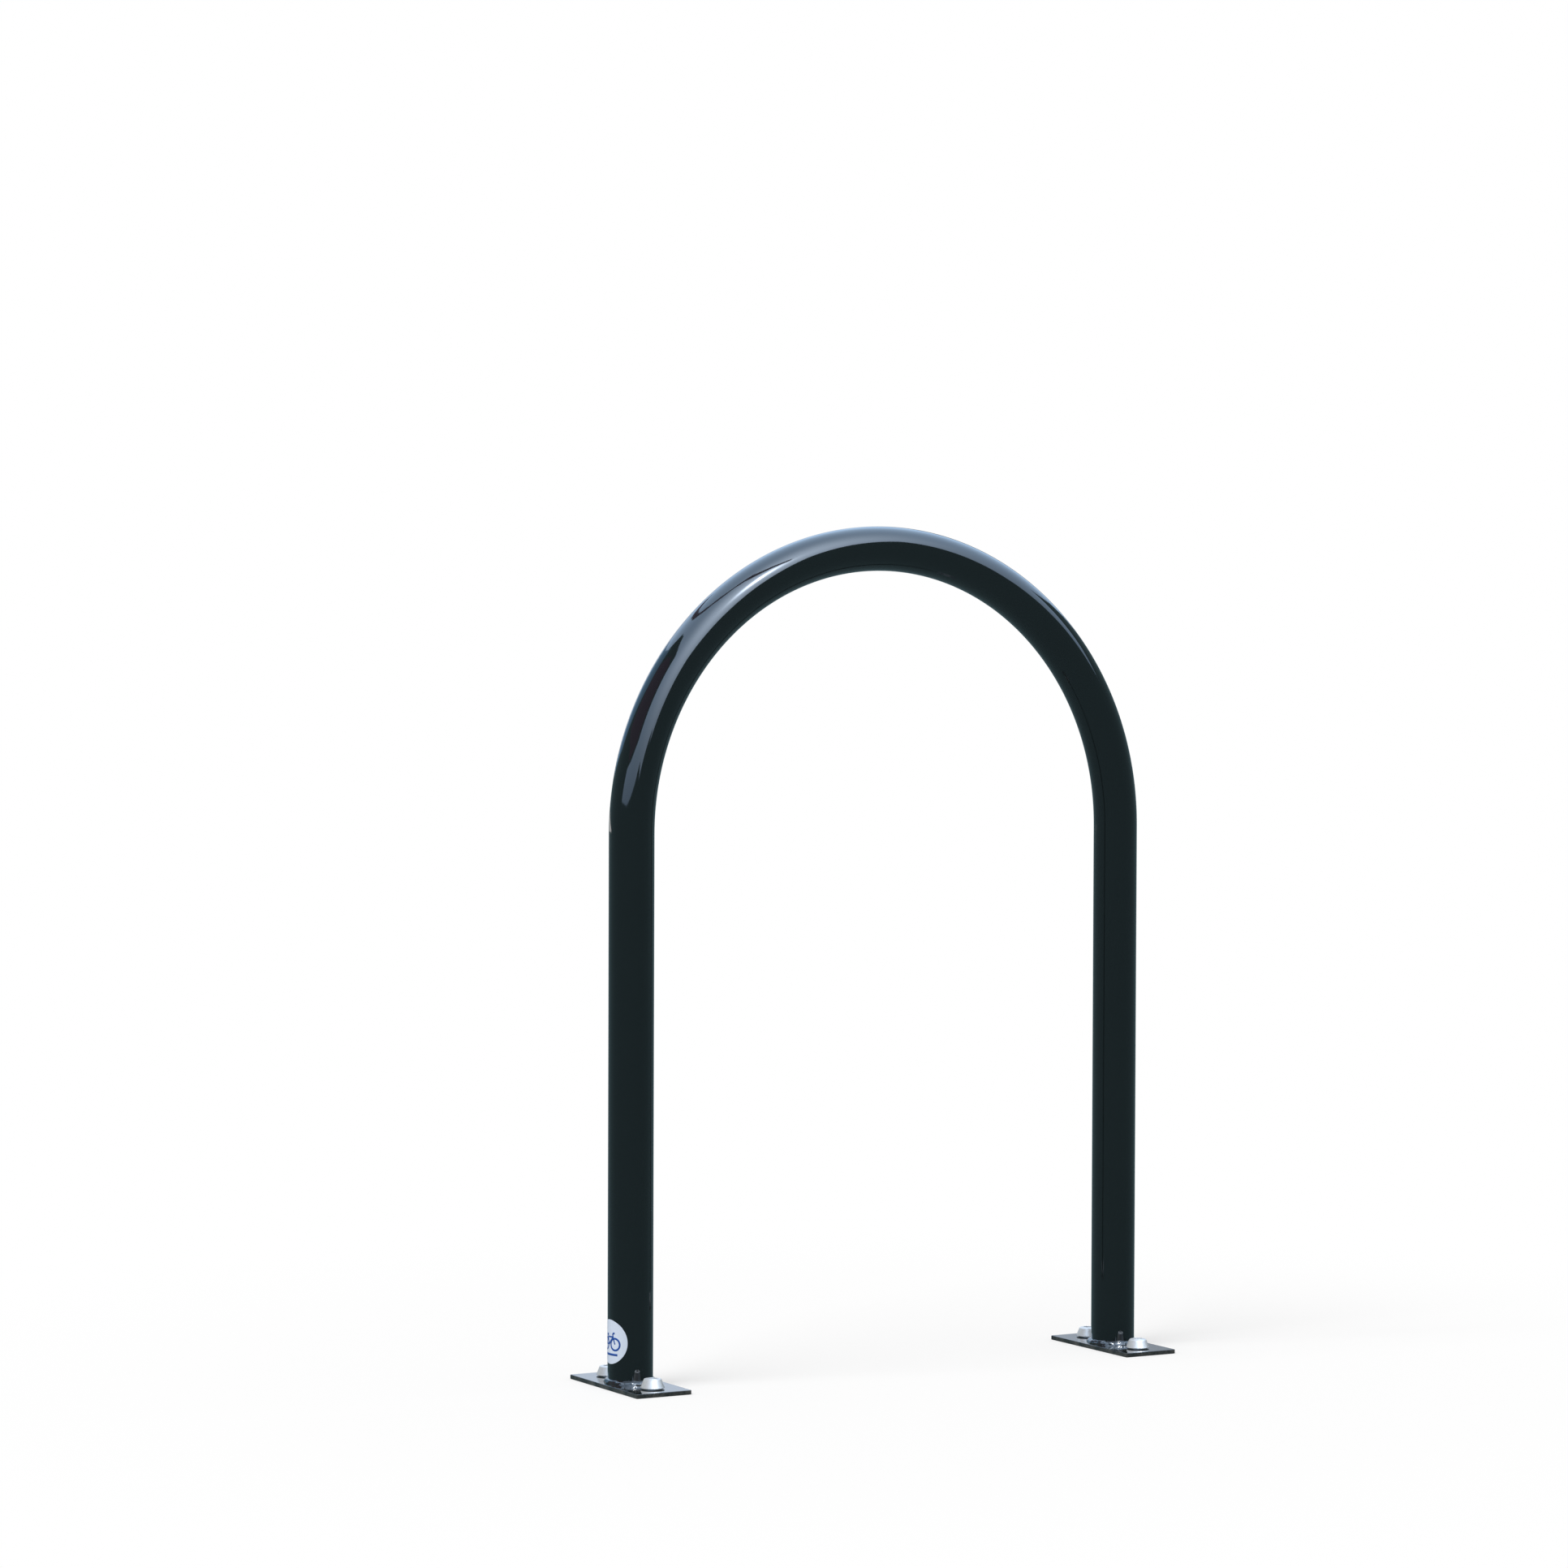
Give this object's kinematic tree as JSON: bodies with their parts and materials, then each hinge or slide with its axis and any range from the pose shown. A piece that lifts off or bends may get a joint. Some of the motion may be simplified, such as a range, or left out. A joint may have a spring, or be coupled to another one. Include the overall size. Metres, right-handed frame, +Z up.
{
  "type": "hoop bike rack",
  "caption": "Inverted-U bike rack: a steel pipe bent to a half circle on straight legs, welded to flat foot plates and held down with wedge anchors and tamper-proof cone nuts.",
  "frame": {"origin": "on the slab, in the plane of the foot plates' undersides, midway between the two legs and midway between the front and back anchors", "axes": "+X along the hoop from the left leg to the right leg, +Y through the hoop to the back, +Z up"},
  "size_m": [0.6746, 0.155, 0.9761],
  "materials": {
    "black_powder_coat": "gloss",
    "satin_zinc_nut": "satin",
    "zinc_plated_steel": "satin",
    "spring_steel": "satin",
    "label_vinyl": "satin"
  },
  "bodies": {
    "root": {"hoop_pipe": "black_powder_coat", "left_foot_plate": "black_powder_coat", "right_foot_plate": "black_powder_coat", "left_weld": "black_powder_coat", "right_weld": "black_powder_coat", "round_label": "label_vinyl", "left_front_anchor_stud": "zinc_plated_steel", "left_front_expansion_clip": "spring_steel", "left_front_washer": "zinc_plated_steel", "left_front_security_nut": "satin_zinc_nut", "left_back_anchor_stud": "zinc_plated_steel", "left_back_expansion_clip": "spring_steel", "left_back_washer": "zinc_plated_steel", "left_back_security_nut": "satin_zinc_nut", "right_front_anchor_stud": "zinc_plated_steel", "right_front_expansion_clip": "spring_steel", "right_front_washer": "zinc_plated_steel", "right_front_security_nut": "satin_zinc_nut", "right_back_anchor_stud": "zinc_plated_steel", "right_back_expansion_clip": "spring_steel", "right_back_washer": "zinc_plated_steel", "right_back_security_nut": "satin_zinc_nut"}
  },
  "joints": []
}
